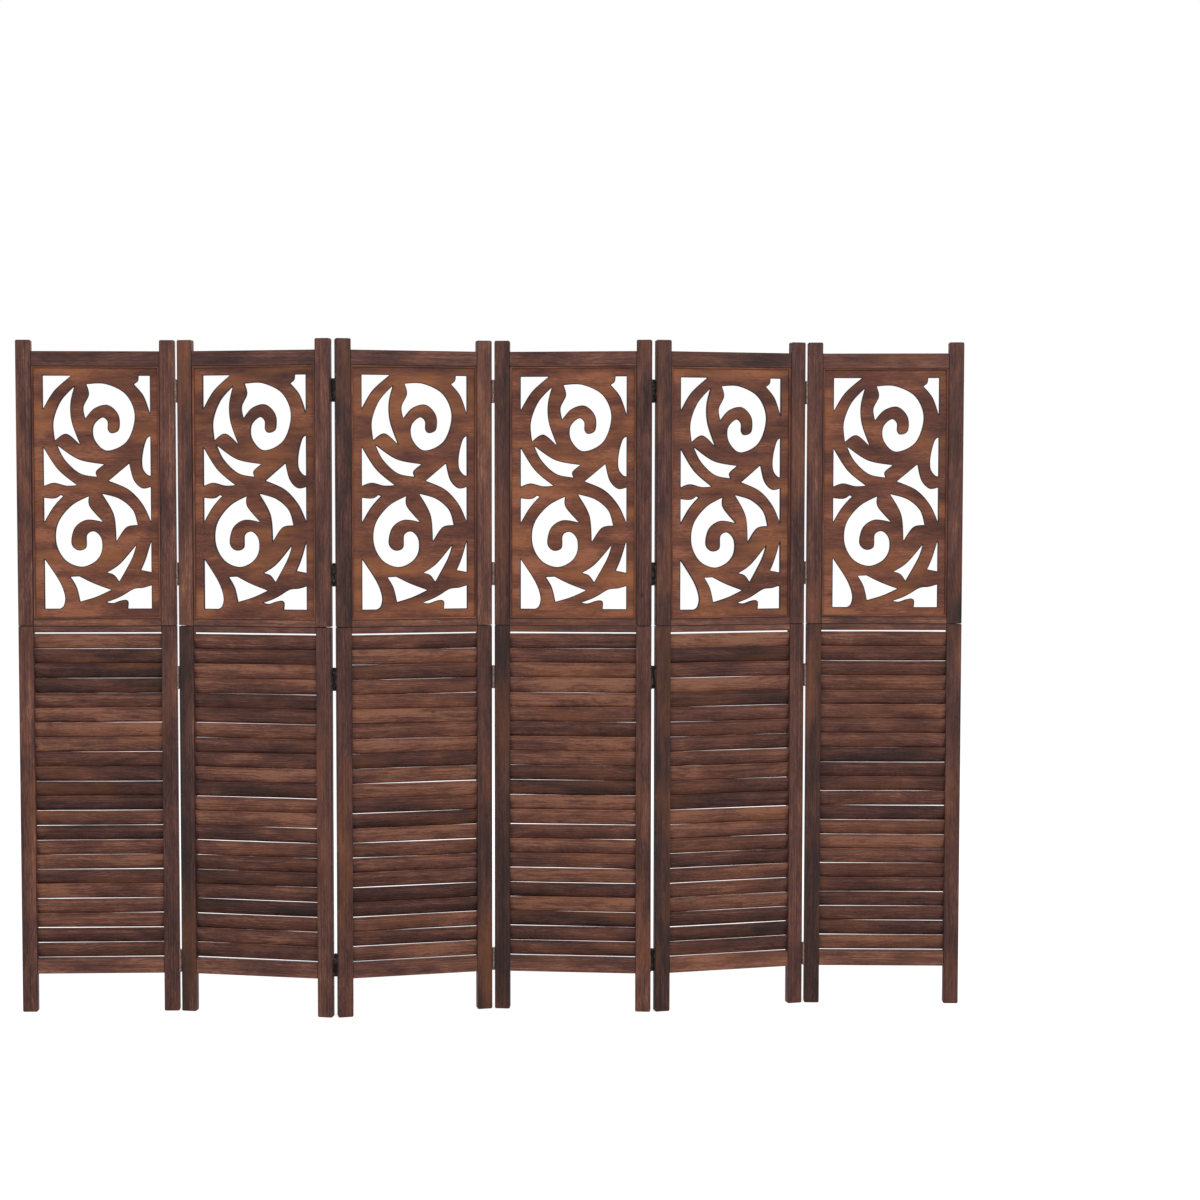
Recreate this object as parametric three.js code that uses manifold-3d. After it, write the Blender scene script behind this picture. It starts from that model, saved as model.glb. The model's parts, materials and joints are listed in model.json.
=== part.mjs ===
// A six-panel folding screen in stained wood. Each panel is two stacked frames: the upper one
// holds a scroll-fretwork board, the lower one a bank of fixed louvre slats above two legs.
// Steel butt hinges join the panels in a zig-zag, with the knuckles in front at every other
// junction and behind at the rest, so that the screen opens flat and closes like an accordion.
//
// Millimetres, +Z up. The front faces -Y. The origin is on the floor, at the middle of the
// standing screen's outline.

import * as THREE from 'three';
import { mergeVertices } from 'three/addons/utils/BufferGeometryUtils.js';
import Module from 'manifold-3d';

const wasm = await Module();
wasm.setup();

// ---- driving dimensions -------------------------------------------------------------------

const PANEL_COUNT = 6;
const PANEL_WIDTH = 396;
const FRAME_THICKNESS = 20;
const LOWER_FRAME_HEIGHT = 982; // from the floor to the seam between the two frames
const SEAM = 0.6; // open joint between the lower and the upper frame
const UPPER_FRAME_HEIGHT = 717.4;

const STILE_WIDTH = 38;
const HORN_HEIGHT = 28; // how far a stile stands above the top rail
const LEG_HEIGHT = 97.5; // from the floor to the bottom rail
const CORNER_BEVEL = 2.5; // at the feet and at the tips of the horns
const DOWEL_DIAMETER = 10;
const DOWEL_SIDES = 8;

const RAIL_THICKNESS = 18;
const TOP_RAIL_HEIGHT = 37;
const BOARD_RAIL_HEIGHT = 17; // under the fretwork board
const LOUVRE_RAIL_HEIGHT = 16; // over the louvre slats
const BOTTOM_RAIL_HEIGHT = 39;
const TENON_LENGTH = 14;
const TENON_THICKNESS = 8;
const TENON_SHOULDER = 5; // the step above and below a tenon

const BOARD_THICKNESS = 6;
const BOARD_GROOVE_DEPTH = 4;
const BEAD_SIZE = 5; // the square bead round the board, on both faces
const FRETWORK_LEFT_BORDER = 28; // of plain board, between a stile and the sawn pattern
const FRETWORK_RIGHT_BORDER = 25;
const FRETWORK_END_BORDER = 25.2; // the same, between a rail and the pattern
const FRETWORK_FACET = 20; // longest straight step along a curved saw cut

const SLAT_COUNT = 22;
const SLAT_WIDTH = 38.8; // the slats overlap a little, seen from in front
const SLAT_THICKNESS = 5;
const SLAT_TILT = THREE.MathUtils.degToRad(18); // top edge leaning to the front
const SLAT_TOP_GAP = 3.6; // light gap between the uppermost slat and its rail
const SLAT_BOTTOM_GAP = 2.4;
const RACK_GROOVE_DEPTH = 4;
const RACK_THICKNESS = 2;
const SLAT_LIP = 1.5; // wood of the stile left in front of and behind the slat ends

const HINGE_HEIGHT = 58;
const HINGE_BELOW_TOP = 127.5; // from a panel's top to the middle of the uppermost hinge
const HINGE_FROM_SEAM = 130.5; // the same above the seam and below it
const HINGE_ABOVE_FLOOR = 129.5;
const HINGE_GAP = 6; // between two stile edges when the panels stand in line
const KNUCKLE_COUNT = 5;
const KNUCKLE_SIDES = 6;
const KNUCKLE_TO_FACE = 0.5; // between a knuckle and the face that it stands proud of
const PIN_RADIUS = 1.2;
const PIN_CLEARANCE = 0.3; // between the pin and the bore round it
const LEAF_THICKNESS = 1.2;
const LEAF_REACH = 19; // from the pin's axis to the far edge of a leaf
const LEAF_TO_KNUCKLE = 0.4; // between a leaf's plate and the other leaf's knuckles
const STRIP_WIDTH = 4; // let into the stile's edge, joining the leaves of one set
const STRIP_THICKNESS = 0.9;
const STRIP_LAP = 0.6; // how far the strip reaches into the thickness of a leaf
const STRIP_END = 13; // how far the strip runs past the middle of the outermost leaves

// Fold between neighbouring panels as the screen stands, and the first panel's heading.
const STANDING_FOLDS = [12.7, 24.8, 19.6, 19.9, 15.8];
const FIRST_HEADING = -0.2;

const SEAT = 0.3; // gap at every seated or sliding face
const CUT = 2; // how far a cutter runs past the face that it opens
const SAME_POINT = 1e-4; // corners nearer to each other than this are one corner

// ---- materials ----------------------------------------------------------------------------

const wood = (color) => new THREE.MeshStandardMaterial({ color, roughness: 0.7, metalness: 0 });
const frameWood = wood('#563a31');
const railWood = wood('#5e4034');
const boardWood = wood('#744b37');
const slatWood = wood('#644339');
const hingeSteel = new THREE.MeshStandardMaterial({ color: '#35291f', roughness: 0.45, metalness: 0.8 });

// ---- places worked out from the sizes -----------------------------------------------------

const PANEL_HEIGHT = LOWER_FRAME_HEIGHT + SEAM + UPPER_FRAME_HEIGHT;
const topRail = { top: PANEL_HEIGHT - HORN_HEIGHT, height: TOP_RAIL_HEIGHT };
const boardRail = { top: LOWER_FRAME_HEIGHT + SEAM + BOARD_RAIL_HEIGHT, height: BOARD_RAIL_HEIGHT };
const louvreRail = { top: LOWER_FRAME_HEIGHT, height: LOUVRE_RAIL_HEIGHT };
const bottomRail = { top: LEG_HEIGHT + BOTTOM_RAIL_HEIGHT, height: BOTTOM_RAIL_HEIGHT };
const rails = [topRail, boardRail, louvreRail, bottomRail];
for (const rail of rails) rail.bottom = rail.top - rail.height;

const knuckleFlat = HINGE_GAP / 2 - SEAT;
const knuckleRadius = knuckleFlat / Math.cos(Math.PI / KNUCKLE_SIDES);
const PIN_OFFSET = knuckleRadius + KNUCKLE_TO_FACE; // from a panel's face to the pin's axis

// Four hinges at every junction: one at the bottom rail, one each side of the seam, one on top.
const HINGE_CENTRES = [
  HINGE_ABOVE_FLOOR,
  LOWER_FRAME_HEIGHT - HINGE_FROM_SEAM,
  LOWER_FRAME_HEIGHT + SEAM + HINGE_FROM_SEAM,
  PANEL_HEIGHT - HINGE_BELOW_TOP,
];

const boardOpening = { bottom: boardRail.top, top: topRail.bottom };
const louvreOpening = { bottom: bottomRail.top, top: louvreRail.bottom };

// ---- solids -------------------------------------------------------------------------------

// A closed three.js geometry becomes a solid once the vertices that its faces share are merged.
function solid(geometry) {
  const bare = geometry.index ? geometry.toNonIndexed() : geometry.clone();
  for (const name of Object.keys(bare.attributes)) {
    if (name !== 'position') bare.deleteAttribute(name);
  }
  const merged = mergeVertices(bare, SAME_POINT);
  return new wasm.Manifold(new wasm.Mesh({
    numProp: 3,
    vertProperties: Float32Array.from(merged.attributes.position.array),
    triVerts: Uint32Array.from(merged.index.array),
  }));
}

function geometryOf(body) {
  const { vertProperties, triVerts } = body.asOriginal().simplify().getMesh();
  const geometry = new THREE.BufferGeometry();
  geometry.setAttribute('position', new THREE.BufferAttribute(vertProperties, 3));
  geometry.setIndex(new THREE.BufferAttribute(triVerts, 1));
  const faceted = geometry.toNonIndexed();
  faceted.computeVertexNormals();
  return faceted;
}

// A box between two opposite corners.
function block([x0, y0, z0], [x1, y1, z1]) {
  const box = new THREE.BoxGeometry(x1 - x0, y1 - y0, z1 - z0);
  return solid(box.translate((x0 + x1) / 2, (y0 + y1) / 2, (z0 + z1) / 2));
}

// An outline in the X-Z plane, extruded along Y about the panel's middle plane.
function sheet(shape, thickness) {
  const options = { depth: thickness, bevelEnabled: false };
  const flat = new THREE.ExtrudeGeometry(shape, options);
  return solid(flat.rotateX(Math.PI / 2).translate(0, thickness / 2, 0));
}

function together(bodies) {
  return bodies.reduce((whole, body) => whole.add(body));
}

// ---- stiles -------------------------------------------------------------------------------

// The stile is drawn for the left of a panel, with its outer edge at x = 0 and its inner edge,
// which faces the rails, at x = STILE_WIDTH. A right stile is its mirror image.

const halfFrame = FRAME_THICKNESS / 2;

// A square-edged length of wood with the corners bevelled at one end, as at a foot or a horn.
function stileLength(bottom, top, bevelledEnd) {
  const bar = block([0, -halfFrame, bottom], [STILE_WIDTH, halfFrame, top]);
  const tip = bevelledEnd === 'top' ? top : bottom;
  const inward = bevelledEnd === 'top' ? -1 : 1;
  const outline = new THREE.Shape([
    new THREE.Vector2(0, tip + inward * CORNER_BEVEL),
    new THREE.Vector2(CORNER_BEVEL, tip),
    new THREE.Vector2(STILE_WIDTH - CORNER_BEVEL, tip),
    new THREE.Vector2(STILE_WIDTH, tip + inward * CORNER_BEVEL),
    new THREE.Vector2(STILE_WIDTH, tip + inward * (top - bottom)),
    new THREE.Vector2(0, tip + inward * (top - bottom)),
  ]);
  return bar.intersect(sheet(outline, FRAME_THICKNESS));
}

function mortise(rail) {
  const half = TENON_THICKNESS / 2 + SEAT;
  return block(
    [STILE_WIDTH - TENON_LENGTH - SEAT, -half, rail.bottom + TENON_SHOULDER - SEAT],
    [STILE_WIDTH + CUT, half, rail.top - TENON_SHOULDER + SEAT],
  );
}

function boardGroove() {
  const half = BOARD_THICKNESS / 2 + SEAT;
  return block(
    [STILE_WIDTH - BOARD_GROOVE_DEPTH, -half, boardOpening.bottom - BOARD_GROOVE_DEPTH],
    [STILE_WIDTH + CUT, half, boardOpening.top + BOARD_GROOVE_DEPTH],
  );
}

function slatHousing() {
  const half = halfFrame - SLAT_LIP;
  return block(
    [STILE_WIDTH - RACK_GROOVE_DEPTH, -half, louvreOpening.bottom],
    [STILE_WIDTH + CUT, half, louvreOpening.top],
  );
}

// The leaf reaches from the pin in past the panel's face; the strip runs under its middle.
// side is -1 where the pin is in front of the panels and 1 where it is behind them.
function leafMiddle(side) {
  const leafEnd = side * (halfFrame + PIN_OFFSET - LEAF_REACH);
  return (leafEnd + side * halfFrame) / 2;
}

const stripBottom = HINGE_CENTRES[0] - STRIP_END;
const stripTop = HINGE_CENTRES[HINGE_CENTRES.length - 1] + STRIP_END;

// The shallow channel in the outer edge for the strip that joins the leaves.
function stripChannel(side) {
  const y = leafMiddle(side);
  const half = STRIP_WIDTH / 2 + SEAT;
  return block(
    [-CUT, y - half, stripBottom - SEAT],
    [STRIP_THICKNESS + SEAT, y + half, stripTop + SEAT],
  );
}

// hingeSide is undefined on the two outermost stiles, which carry no hinges.
function leftStile(hingeSide) {
  const upperBottom = LOWER_FRAME_HEIGHT + SEAM;
  const lower = stileLength(0, LOWER_FRAME_HEIGHT, 'bottom');
  const upper = stileLength(upperBottom, PANEL_HEIGHT, 'top');
  const dowel = solid(new THREE.CylinderGeometry(
    DOWEL_DIAMETER / 2,
    DOWEL_DIAMETER / 2,
    SEAM + 2 * CUT,
    DOWEL_SIDES,
  ).rotateX(Math.PI / 2).translate(STILE_WIDTH / 2, 0, LOWER_FRAME_HEIGHT + SEAM / 2));
  const cuts = [...rails.map(mortise), boardGroove(), slatHousing()];
  if (hingeSide) cuts.push(stripChannel(hingeSide));
  return together([lower, upper, dowel]).subtract(together(cuts));
}

function rightStile(hingeSide) {
  return leftStile(hingeSide).mirror([1, 0, 0]).translate([PANEL_WIDTH, 0, 0]);
}

// ---- rails --------------------------------------------------------------------------------

function railBody(rail, grooveFace) {
  const half = RAIL_THICKNESS / 2;
  const left = STILE_WIDTH + SEAT;
  const right = PANEL_WIDTH - left;
  const bar = block([left, -half, rail.bottom], [right, half, rail.top]);
  const tenon = block(
    [left - TENON_LENGTH, -TENON_THICKNESS / 2, rail.bottom + TENON_SHOULDER],
    [right + TENON_LENGTH, TENON_THICKNESS / 2, rail.top - TENON_SHOULDER],
  );
  const body = bar.add(tenon);
  if (!grooveFace) return body;
  const inward = grooveFace === 'top' ? -1 : 1;
  const depths = [rail[grooveFace] + inward * BOARD_GROOVE_DEPTH, rail[grooveFace] - inward * CUT];
  const groove = BOARD_THICKNESS / 2 + SEAT;
  return body.subtract(block(
    [left - CUT, -groove, Math.min(...depths)],
    [right + CUT, groove, Math.max(...depths)],
  ));
}

// ---- fretwork board -----------------------------------------------------------------------

// The saw cuts of the scroll pattern, each a closed chain of runs. A run of two points is a
// straight edge, a longer one a smooth curve, and runs meet in sharp points. Each run starts
// where the last one ended. X is measured from the pattern's left edge, Z from its bottom. The
// whole drawing is fitted to the space inside the borders.
const SAW_CUTS = {
  topLeftCorner: [
    [[0, 585], [71, 585]],
    [[71, 585], [28, 547], [0, 502]],
    [[0, 502], [0, 585]],
  ],
  leftCrescent: [
    [[79, 558], [45, 521], [26, 471], [29, 423]],
    [[29, 423], [58, 440], [92, 413]],
    [[92, 413], [72, 469], [69, 515], [79, 558]],
  ],
  topRightCorner: [
    [[242, 585], [270, 585]],
    [[270, 585], [270, 491]],
    [[270, 491], [254, 535], [230, 564]],
    [[230, 564], [240, 572], [242, 585]],
  ],
  upperScroll: [
    [[110, 564], [158, 564], [209, 538], [231, 485], [211, 422], [161, 398], [130, 424],
      [127, 459], [148, 480], [162, 471], [163, 450], [173, 441], [191, 451], [190, 487],
      [164, 512], [130, 504], [106, 478]],
    [[106, 478], [102, 507], [116, 538], [110, 564]],
  ],
  rightLens: [
    [[270, 434], [270, 335]],
    [[270, 335], [262, 337], [251, 352], [249, 375], [253, 402], [261, 427], [270, 434]],
  ],
  leftTriangle: [
    [[0, 405], [36, 350], [83, 311]],
    [[83, 311], [56, 310], [25, 317], [0, 309]],
    [[0, 309], [0, 405]],
  ],
  lowerCrescent: [
    [[35, 410], [89, 375], [152, 363]],
    [[152, 363], [132, 346], [134, 332]],
    [[134, 332], [91, 341], [54, 374], [35, 410]],
  ],
  rightHook: [
    [[164, 322], [216, 365]],
    [[216, 365], [227, 324], [248, 303], [270, 306]],
    [[270, 306], [270, 219]],
    [[270, 219], [249, 263], [214, 300], [164, 322]],
  ],
  leftWedge: [
    [[0, 279], [20, 277], [32, 279], [42, 286]],
    [[42, 286], [48, 283]],
    [[48, 283], [36, 271], [19, 250], [0, 218]],
    [[0, 218], [0, 279]],
  ],
  lowerScroll: [
    [[113, 283], [115, 257], [148, 219]],
    [[148, 219], [107, 224], [77, 204], [68, 165], [84, 147], [105, 154], [108, 186],
      [127, 194], [144, 176], [144, 143], [126, 118], [91, 106], [52, 123], [30, 165],
      [35, 216], [69, 259], [113, 283]],
  ],
  rightCrescent: [
    [[147, 289], [191, 276], [224, 248], [236, 211]],
    [[236, 211], [207, 205], [182, 170]],
    [[182, 170], [176, 236], [147, 289]],
  ],
  rightSliver: [
    [[270, 170], [270, 92]],
    [[270, 92], [244, 97]],
    [[244, 97], [256, 125], [270, 170]],
  ],
  slantingLeaf: [
    [[232, 160], [191, 113], [158, 91]],
    [[158, 91], [175, 85], [188, 68]],
    [[188, 68], [220, 125], [232, 160]],
  ],
  bottomLeftDrop: [
    [[0, 125], [36, 70], [50, 32], [47, 8], [37, 0]],
    [[37, 0], [0, 0]],
    [[0, 0], [0, 125]],
  ],
  bottomSail: [
    [[65, 80], [87, 81]],
    [[87, 81], [124, 63], [167, 47]],
    [[167, 47], [129, 30], [89, 18]],
    [[89, 18], [80, 54], [65, 80]],
  ],
  bottomRightCorner: [
    [[270, 58], [249, 52], [225, 49], [199, 34], [181, 25], [156, 16]],
    [[156, 16], [171, 14], [190, 20], [205, 22], [211, 16], [210, 0]],
    [[210, 0], [270, 0]],
    [[270, 0], [270, 58]],
  ],
};

const patternLeft = STILE_WIDTH + FRETWORK_LEFT_BORDER;
const patternRight = PANEL_WIDTH - STILE_WIDTH - FRETWORK_RIGHT_BORDER;
const patternBottom = boardOpening.bottom + FRETWORK_END_BORDER;
const patternTop = boardOpening.top - FRETWORK_END_BORDER;
const drawnPoints = Object.values(SAW_CUTS).flat(2);
const acrossScale = (patternRight - patternLeft) / Math.max(...drawnPoints.map(([x]) => x));
const upScale = (patternTop - patternBottom) / Math.max(...drawnPoints.map(([, z]) => z));

function sawCutOutline(runs) {
  const outline = [];
  for (const run of runs) {
    const points = run.map(([x, z]) => new THREE.Vector2(
      patternLeft + x * acrossScale,
      patternBottom + z * upScale,
    ));
    const curve = new THREE.SplineCurve(points);
    const steps = run.length === 2 ? 1 : Math.ceil(curve.getLength() / FRETWORK_FACET);
    outline.push(...curve.getPoints(steps).slice(0, -1));
  }
  return outline;
}

function fretworkBoard() {
  const tongue = BOARD_GROOVE_DEPTH - SEAT;
  const left = STILE_WIDTH - tongue;
  const right = PANEL_WIDTH - left;
  const bottom = boardOpening.bottom - tongue;
  const top = boardOpening.top + tongue;
  const shape = new THREE.Shape([
    new THREE.Vector2(left, bottom),
    new THREE.Vector2(right, bottom),
    new THREE.Vector2(right, top),
    new THREE.Vector2(left, top),
  ]);
  for (const runs of Object.values(SAW_CUTS)) {
    shape.holes.push(new THREE.Path(sawCutOutline(runs)));
  }
  return sheet(shape, BOARD_THICKNESS).add(beadRing());
}

// The bead lies against the board on both faces and fills the corner between board and frame.
function beadRing() {
  const half = BOARD_THICKNESS / 2 + BEAD_SIZE;
  const left = STILE_WIDTH + SEAT;
  const bottom = boardOpening.bottom + SEAT;
  const top = boardOpening.top - SEAT;
  const outer = block([left, -half, bottom], [PANEL_WIDTH - left, half, top]);
  const inner = block(
    [left + BEAD_SIZE, -half - CUT, bottom + BEAD_SIZE],
    [PANEL_WIDTH - left - BEAD_SIZE, half + CUT, top - BEAD_SIZE],
  );
  return outer.subtract(inner);
}

// ---- louvre -------------------------------------------------------------------------------

const slatDrop = SLAT_WIDTH * Math.cos(SLAT_TILT) + SLAT_THICKNESS * Math.sin(SLAT_TILT);
const lowestSlat = louvreOpening.bottom + SLAT_BOTTOM_GAP + slatDrop / 2;
const highestSlat = louvreOpening.top - SLAT_TOP_GAP - slatDrop / 2;
const slatPitch = (highestSlat - lowestSlat) / (SLAT_COUNT - 1);

// The slats are fixed. A thin rack at each end, deep in the housing in the stile, spaces them.
function louvreSlats() {
  const rackOuter = STILE_WIDTH - RACK_GROOVE_DEPTH + SEAT;
  const rackInner = rackOuter + RACK_THICKNESS;
  const rackHalf = halfFrame - SLAT_LIP - SEAT;
  const rackBottom = louvreOpening.bottom + SEAT;
  const rackTop = louvreOpening.top - SEAT;
  const leftRack = block([rackOuter, -rackHalf, rackBottom], [rackInner, rackHalf, rackTop]);
  const rightRack = leftRack.mirror([1, 0, 0]).translate([PANEL_WIDTH, 0, 0]);
  const slatLength = PANEL_WIDTH - 2 * rackOuter - RACK_THICKNESS;
  const bodies = [leftRack, rightRack];
  for (let i = 0; i < SLAT_COUNT; i += 1) {
    const slat = new THREE.BoxGeometry(slatLength, SLAT_THICKNESS, SLAT_WIDTH);
    slat.rotateX(SLAT_TILT).translate(PANEL_WIDTH / 2, 0, lowestSlat + i * slatPitch);
    bodies.push(solid(slat));
  }
  return together(bodies);
}

// ---- hinges -------------------------------------------------------------------------------

// A leaf set is drawn about the pin's axis at x = 0, y = 0, for the left-hand panel of a
// junction with the pin in front: the stile's edge is at x = -HINGE_GAP / 2 and the leaves run
// back along it, to +y. Every other leaf set is this one mirrored.

const knuckleLength = (HINGE_HEIGHT - (KNUCKLE_COUNT - 1) * SEAT) / KNUCKLE_COUNT;
const leafInnerFace = LEAF_THICKNESS - knuckleFlat;
const boreRadius = PIN_RADIUS + PIN_CLEARANCE;

// A six-sided post about the pin's axis, with flats facing the stile edges. flat is half the
// distance between two of them.
function post(flat, bottom, top) {
  const radius = flat / Math.cos(Math.PI / KNUCKLE_SIDES);
  const cylinder = new THREE.CylinderGeometry(radius, radius, top - bottom, KNUCKLE_SIDES);
  cylinder.rotateX(Math.PI / 2).translate(0, 0, (bottom + top) / 2);
  return solid(cylinder);
}

function leaf(centre, withPin) {
  const bottom = centre - HINGE_HEIGHT / 2;
  const top = centre + HINGE_HEIGHT / 2;
  const plateStart = knuckleRadius + LEAF_TO_KNUCKLE;
  const bodies = [block([-knuckleFlat, plateStart, bottom], [leafInnerFace, LEAF_REACH, top])];
  for (let i = withPin ? 0 : 1; i < KNUCKLE_COUNT; i += 2) {
    const low = bottom + i * (knuckleLength + SEAT);
    const high = low + knuckleLength;
    const root = block([-knuckleFlat, 0, low], [leafInnerFace, plateStart + SEAT, high]);
    const knuckle = post(knuckleFlat, low, high).add(root);
    bodies.push(withPin ? knuckle : knuckle.subtract(post(boreRadius, low - CUT, high + CUT)));
  }
  if (withPin) bodies.push(post(PIN_RADIUS, bottom + knuckleLength / 2, top - knuckleLength / 2));
  return together(bodies);
}

// The four leaves on one stile edge, with the strip that joins them lying in its channel.
function leafSet(withPin) {
  const pinToStrip = halfFrame + PIN_OFFSET + leafMiddle(-1);
  const stripHalf = STRIP_WIDTH / 2;
  const strip = block(
    [-HINGE_GAP / 2 - STRIP_THICKNESS, pinToStrip - stripHalf, stripBottom],
    [STRIP_LAP - knuckleFlat, pinToStrip + stripHalf, stripTop],
  );
  return together([strip, ...HINGE_CENTRES.map((centre) => leaf(centre, withPin))]);
}

// ---- assembly -----------------------------------------------------------------------------

function piece(name, body, material) {
  const mesh = new THREE.Mesh(geometryOf(body), material);
  mesh.name = name;
  return mesh;
}

// The pins stand in front of the panels at the first, third and fifth junction.
const junctionSide = (junction) => (junction % 2 === 1 ? -1 : 1);

function panel(number) {
  const name = (part) => `panel_${number}_${part}`;
  const leftSide = number > 1 ? junctionSide(number - 1) : undefined;
  const rightSide = number < PANEL_COUNT ? junctionSide(number) : undefined;
  const group = new THREE.Group();
  group.add(
    piece(name('left_stile'), leftStile(leftSide), frameWood),
    piece(name('right_stile'), rightStile(rightSide), frameWood),
    piece(name('top_rail'), railBody(topRail, 'bottom'), railWood),
    piece(name('board_rail'), railBody(boardRail, 'top'), railWood),
    piece(name('louvre_rail'), railBody(louvreRail), railWood),
    piece(name('bottom_rail'), railBody(bottomRail), railWood),
    piece(name('fretwork_board'), fretworkBoard(), boardWood),
    piece(name('louvre_slats'), louvreSlats(), slatWood),
  );
  return group;
}

// The leaves of a junction, hung on the panel that they are screwed to.
function hangLeaves(panelGroup, name, body, side, x, onLeftEdge) {
  const mirrorX = onLeftEdge ? body.mirror([1, 0, 0]) : body;
  const turned = side === -1 ? mirrorX : mirrorX.mirror([0, 1, 0]);
  const mesh = piece(name, turned, hingeSteel);
  mesh.position.set(x, side * (halfFrame + PIN_OFFSET), 0);
  panelGroup.add(mesh);
}

const pinnedLeaves = leafSet(true);
const boredLeaves = leafSet(false);

const screen = new THREE.Group();
let carrier = new THREE.Group();
carrier.rotation.z = THREE.MathUtils.degToRad(FIRST_HEADING);
screen.add(carrier);
let panelGroup = panel(1);
carrier.add(panelGroup);

for (let junction = 1; junction < PANEL_COUNT; junction += 1) {
  const side = junctionSide(junction);
  const rightPin = PANEL_WIDTH + HINGE_GAP / 2;
  const pinY = side * (halfFrame + PIN_OFFSET);
  hangLeaves(panelGroup, `hinge_line_${junction}_pinned_leaves`, pinnedLeaves, side, rightPin, false);

  // The next panel turns about the pin, and is nested in the panel that it hangs on.
  carrier = new THREE.Group();
  carrier.position.set(rightPin, pinY, 0);
  carrier.rotation.z = side * THREE.MathUtils.degToRad(STANDING_FOLDS[junction - 1]);
  panelGroup.add(carrier);
  panelGroup = panel(junction + 1);
  panelGroup.position.set(HINGE_GAP / 2, -pinY, 0);
  carrier.add(panelGroup);
  hangLeaves(panelGroup, `hinge_line_${junction}_bored_leaves`, boredLeaves, side, -HINGE_GAP / 2, true);
}

// Centre the standing screen's outline on the origin.
screen.updateMatrixWorld(true);
const outline = new THREE.Box3().setFromObject(screen, true);
const middle = outline.getCenter(new THREE.Vector3());
screen.position.set(-middle.x, -middle.y, 0);

export default screen;
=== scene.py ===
# A six-panel folding screen in stained wood, standing in a zig-zag: in each panel a sawn
# scroll-fretwork board above a bank of fixed louvre slats, on two short legs, and a line of
# butt hinges between every two panels. Metres throughout, the front faces -Y.
import json
import math
import random

import bmesh
import bpy
from mathutils import Matrix, Vector, geometry, kdtree


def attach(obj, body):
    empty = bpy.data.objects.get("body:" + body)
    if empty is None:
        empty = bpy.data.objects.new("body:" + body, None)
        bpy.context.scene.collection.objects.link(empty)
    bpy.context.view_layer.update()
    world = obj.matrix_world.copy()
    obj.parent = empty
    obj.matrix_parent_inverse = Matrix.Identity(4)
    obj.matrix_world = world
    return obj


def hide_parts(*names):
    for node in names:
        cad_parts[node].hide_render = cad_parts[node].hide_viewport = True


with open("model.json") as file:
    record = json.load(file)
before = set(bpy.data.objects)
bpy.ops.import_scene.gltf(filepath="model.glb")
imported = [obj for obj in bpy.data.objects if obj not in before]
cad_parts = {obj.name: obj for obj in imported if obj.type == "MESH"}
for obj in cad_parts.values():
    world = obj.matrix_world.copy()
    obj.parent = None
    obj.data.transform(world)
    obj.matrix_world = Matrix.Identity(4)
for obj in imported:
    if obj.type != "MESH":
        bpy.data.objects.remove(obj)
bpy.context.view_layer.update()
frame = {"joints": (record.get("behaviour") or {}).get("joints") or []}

# ---- The view ------------------------------------------------------------------------------
# The screen is seen from in front, from about five metres away and from breast height, with
# the lens a little to the left of its middle.
CAMERA_PLACE = (-0.1115, -5.3008, 1.3152)
CAMERA_TURN = math.radians(-2.218)
CAMERA_DIP = math.radians(2.896)

lens = bpy.data.cameras.new("camera")
lens.sensor_width = 36.0
lens.lens = 63.03
lens.shift_x = 0.0571
camera = bpy.data.objects.new("camera", lens)
camera.location = CAMERA_PLACE
camera.rotation_euler = (math.pi / 2 - CAMERA_DIP, 0.0, CAMERA_TURN)
bpy.context.scene.collection.objects.link(camera)
bpy.context.scene.camera = camera
bpy.context.scene.view_settings.view_transform = "Standard"

# ---- Where the panels stand ----------------------------------------------------------------
# Each panel hangs on the one before it by a line of hinges whose pins stand proud of the
# wood, in front at the first, third and fifth junction and behind at the other two. A panel
# is drawn flat, from its left edge along x and about its middle plane, and then stood here.
PANEL_COUNT = 6
PANEL_WIDTH = 0.396
PANEL_HEIGHT = 1.700
FRAME_THICKNESS = 0.020
HINGE_GAP = 0.006
PIN_OUT = 0.013618  # from a panel's middle plane to the axis of the pins
FIRST_HEADING = math.radians(-0.2)

panel_places = []
pin_sides = []
heading = FIRST_HEADING
for joint in frame["joints"]:
    side = -1 if joint["axis"][2] < 0 else 1
    pin = Matrix.Translation((joint["pos_m"][0], joint["pos_m"][1], 0.0))
    if not panel_places:
        to_pin = Matrix.Translation((-PANEL_WIDTH - HINGE_GAP / 2, -side * PIN_OUT, 0.0))
        panel_places.append(pin @ Matrix.Rotation(heading, 4, "Z") @ to_pin)
    heading += side * math.radians(-joint["range_deg"][0])
    from_pin = Matrix.Translation((HINGE_GAP / 2, -side * PIN_OUT, 0.0))
    panel_places.append(pin @ Matrix.Rotation(heading, 4, "Z") @ from_pin)
    pin_sides.append(side)

# ---- The stiles ----------------------------------------------------------------------------
# Each stile is two square-edged lengths of light softwood, one of the lower frame and one of
# the upper, which stands on it: a seam shows between them. They are planed, bevelled at foot
# and horn, and stained dark brown, unevenly: greyish in some boards and orange in others.

def node(tree, kind, inputs=None, **settings):
    made = tree.nodes.new(kind)
    made.location = (180 * len(tree.nodes), 0)
    for name, value in settings.items():
        setattr(made, name, value)
    for name, value in (inputs or {}).items():
        if isinstance(value, bpy.types.NodeSocket):
            tree.links.new(value, made.inputs[name])
        else:
            made.inputs[name].default_value = value
    return made


def maths(tree, operation, *values):
    return node(tree, "ShaderNodeMath", dict(enumerate(values)), operation=operation).outputs[0]


def scaled(tree, value, by):
    return maths(tree, "MULTIPLY", value, by)


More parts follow.
